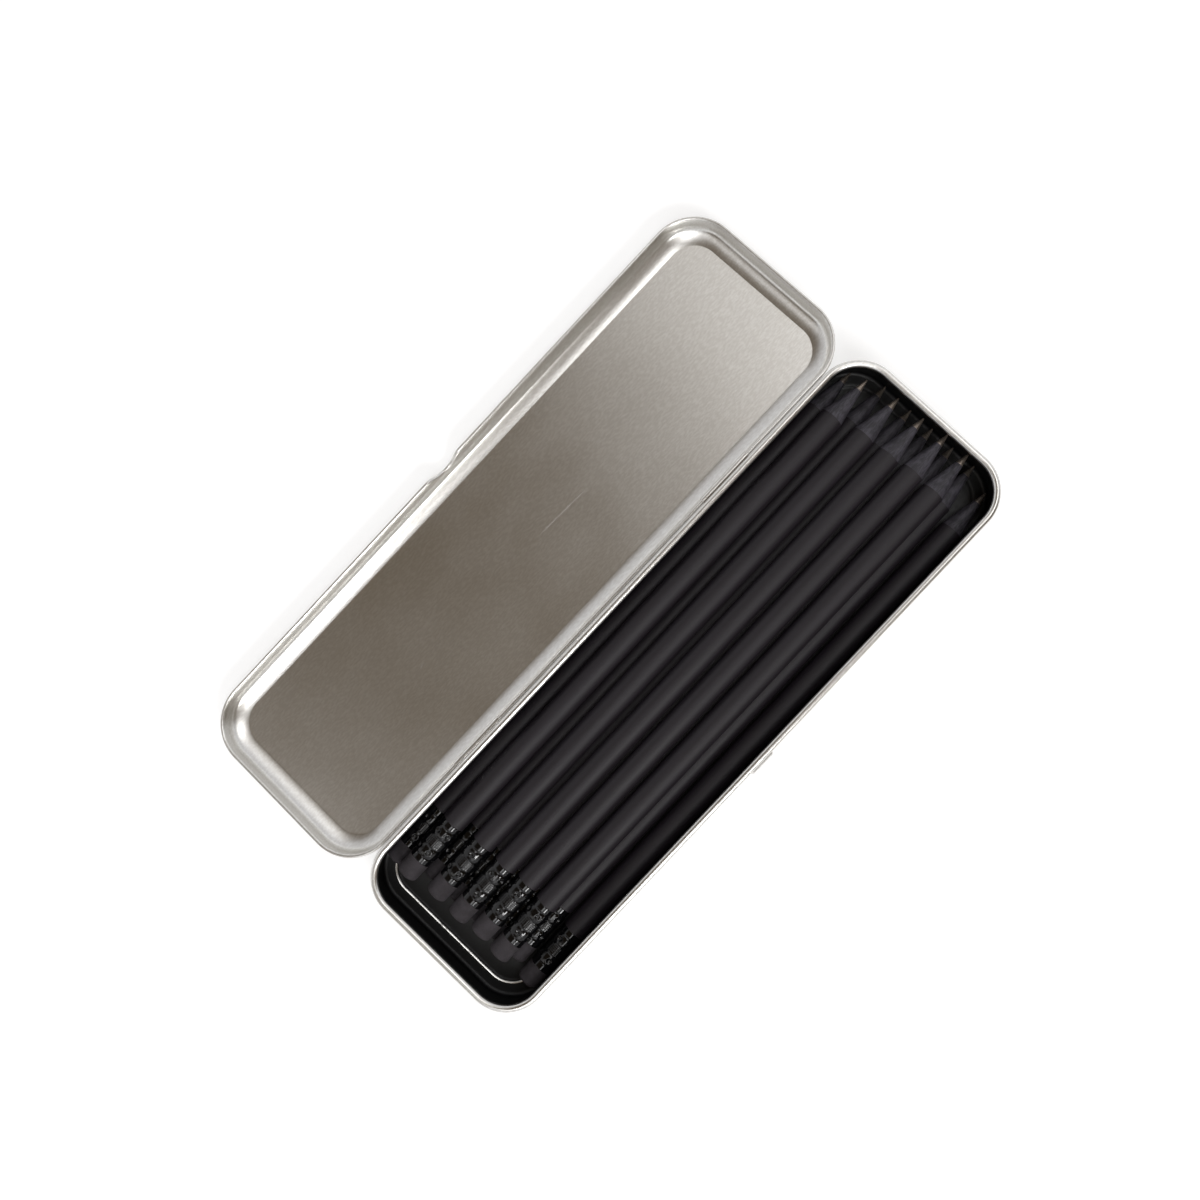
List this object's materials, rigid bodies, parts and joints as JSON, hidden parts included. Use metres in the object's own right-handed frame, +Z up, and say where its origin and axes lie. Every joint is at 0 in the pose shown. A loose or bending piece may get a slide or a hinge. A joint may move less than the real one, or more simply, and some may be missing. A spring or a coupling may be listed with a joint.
{
  "type": "pencil tin",
  "caption": "Flat tinplate pencil tin with a hinged lid lying open, holding round black drawing pencils with erasers in two layers.",
  "frame": {"origin": "middle of the base's underside, the flat face that the tin stands on", "axes": "+X along the tin towards the pencil points, +Y towards the hinge and the opened lid, +Z up"},
  "size_m": [0.207, 0.1246, 0.015],
  "materials": {
    "black_lined_tinplate": "satin black lacquer inside, bare bright tinplate outside and on the curled rim",
    "bare_tinplate": "satin, fine rolled grain",
    "black_painted_wood": "matte black paint, black dyed wood at the sharpened cone",
    "graphite": "satin, sharpened",
    "black_lacquered_ferrule": "gloss black lacquer on pressed rings",
    "grey_rubber": "matte"
  },
  "bodies": {
    "tin_base": {"tin_base": "black_lined_tinplate"},
    "tin_lid": {"tin_lid": "bare_tinplate"},
    "upper_pencil_1": {"upper_pencil_1_casing": "black_painted_wood", "upper_pencil_1_lead": "graphite", "upper_pencil_1_ferrule": "black_lacquered_ferrule", "upper_pencil_1_eraser": "grey_rubber"},
    "upper_pencil_2": {"upper_pencil_2_casing": "black_painted_wood", "upper_pencil_2_lead": "graphite", "upper_pencil_2_ferrule": "black_lacquered_ferrule", "upper_pencil_2_eraser": "grey_rubber"},
    "upper_pencil_3": {"upper_pencil_3_casing": "black_painted_wood", "upper_pencil_3_lead": "graphite", "upper_pencil_3_ferrule": "black_lacquered_ferrule", "upper_pencil_3_eraser": "grey_rubber"},
    "upper_pencil_4": {"upper_pencil_4_casing": "black_painted_wood", "upper_pencil_4_lead": "graphite", "upper_pencil_4_ferrule": "black_lacquered_ferrule", "upper_pencil_4_eraser": "grey_rubber"},
    "upper_pencil_5": {"upper_pencil_5_casing": "black_painted_wood", "upper_pencil_5_lead": "graphite", "upper_pencil_5_ferrule": "black_lacquered_ferrule", "upper_pencil_5_eraser": "grey_rubber"},
    "lower_pencil_1": {"lower_pencil_1_casing": "black_painted_wood", "lower_pencil_1_lead": "graphite", "lower_pencil_1_ferrule": "black_lacquered_ferrule", "lower_pencil_1_eraser": "grey_rubber"},
    "lower_pencil_2": {"lower_pencil_2_casing": "black_painted_wood", "lower_pencil_2_lead": "graphite", "lower_pencil_2_ferrule": "black_lacquered_ferrule", "lower_pencil_2_eraser": "grey_rubber"},
    "lower_pencil_3": {"lower_pencil_3_casing": "black_painted_wood", "lower_pencil_3_lead": "graphite", "lower_pencil_3_ferrule": "black_lacquered_ferrule", "lower_pencil_3_eraser": "grey_rubber"},
    "lower_pencil_4": {"lower_pencil_4_casing": "black_painted_wood", "lower_pencil_4_lead": "graphite", "lower_pencil_4_ferrule": "black_lacquered_ferrule", "lower_pencil_4_eraser": "grey_rubber"},
    "lower_pencil_5": {"lower_pencil_5_casing": "black_painted_wood", "lower_pencil_5_lead": "graphite", "lower_pencil_5_ferrule": "black_lacquered_ferrule", "lower_pencil_5_eraser": "grey_rubber"},
    "lower_pencil_6": {"lower_pencil_6_casing": "black_painted_wood", "lower_pencil_6_lead": "graphite", "lower_pencil_6_ferrule": "black_lacquered_ferrule", "lower_pencil_6_eraser": "grey_rubber"},
    "lower_pencil_7": {"lower_pencil_7_casing": "black_painted_wood", "lower_pencil_7_lead": "graphite", "lower_pencil_7_ferrule": "black_lacquered_ferrule", "lower_pencil_7_eraser": "grey_rubber"}
  },
  "joints": [
    {"name": "lid_hinge", "type": "hinge", "parent": "tin_base", "child": "tin_lid", "pos_m": [0, 0.0309, 0.0105], "axis": [-1, 0, 0], "range_deg": [-183.87, 0]},
    {"name": "upper_pencil_1_lift", "type": "slide", "parent": "tin_base", "child": "upper_pencil_1", "axis": [-0.4472, 0, 0.8944], "range_m": [0, 0.06]},
    {"name": "upper_pencil_2_lift", "type": "slide", "parent": "tin_base", "child": "upper_pencil_2", "axis": [-0.4472, 0, 0.8944], "range_m": [0, 0.06]},
    {"name": "upper_pencil_3_lift", "type": "slide", "parent": "tin_base", "child": "upper_pencil_3", "axis": [-0.4472, 0, 0.8944], "range_m": [0, 0.06]},
    {"name": "upper_pencil_4_lift", "type": "slide", "parent": "tin_base", "child": "upper_pencil_4", "axis": [-0.4472, 0, 0.8944], "range_m": [0, 0.06]},
    {"name": "upper_pencil_5_lift", "type": "slide", "parent": "tin_base", "child": "upper_pencil_5", "axis": [-0.4472, 0, 0.8944], "range_m": [0, 0.06]},
    {"name": "lower_pencil_1_slide", "type": "slide", "parent": "tin_base", "child": "lower_pencil_1", "axis": [1, -0.0004, 0], "range_m": [-0.001, 0.001]},
    {"name": "lower_pencil_2_slide", "type": "slide", "parent": "tin_base", "child": "lower_pencil_2", "axis": [1, 0.0053, 0], "range_m": [-0.006, 0]},
    {"name": "lower_pencil_3_slide", "type": "slide", "parent": "tin_base", "child": "lower_pencil_3", "axis": [1, 0.0013, 0], "range_m": [-0.006, 0]},
    {"name": "lower_pencil_4_slide", "type": "slide", "parent": "tin_base", "child": "lower_pencil_4", "axis": [1, 0.0022, 0], "range_m": [-0.006, 0]},
    {"name": "lower_pencil_5_slide", "type": "slide", "parent": "tin_base", "child": "lower_pencil_5", "axis": [1, 0.0009, 0], "range_m": [-0.006, 0]},
    {"name": "lower_pencil_6_slide", "type": "slide", "parent": "tin_base", "child": "lower_pencil_6", "axis": [1, 0.0018, 0], "range_m": [-0.006, 0]},
    {"name": "lower_pencil_7_slide", "type": "slide", "parent": "tin_base", "child": "lower_pencil_7", "axis": [1, 0.0013, 0], "range_m": [-0.0025, 0]}
  ]
}
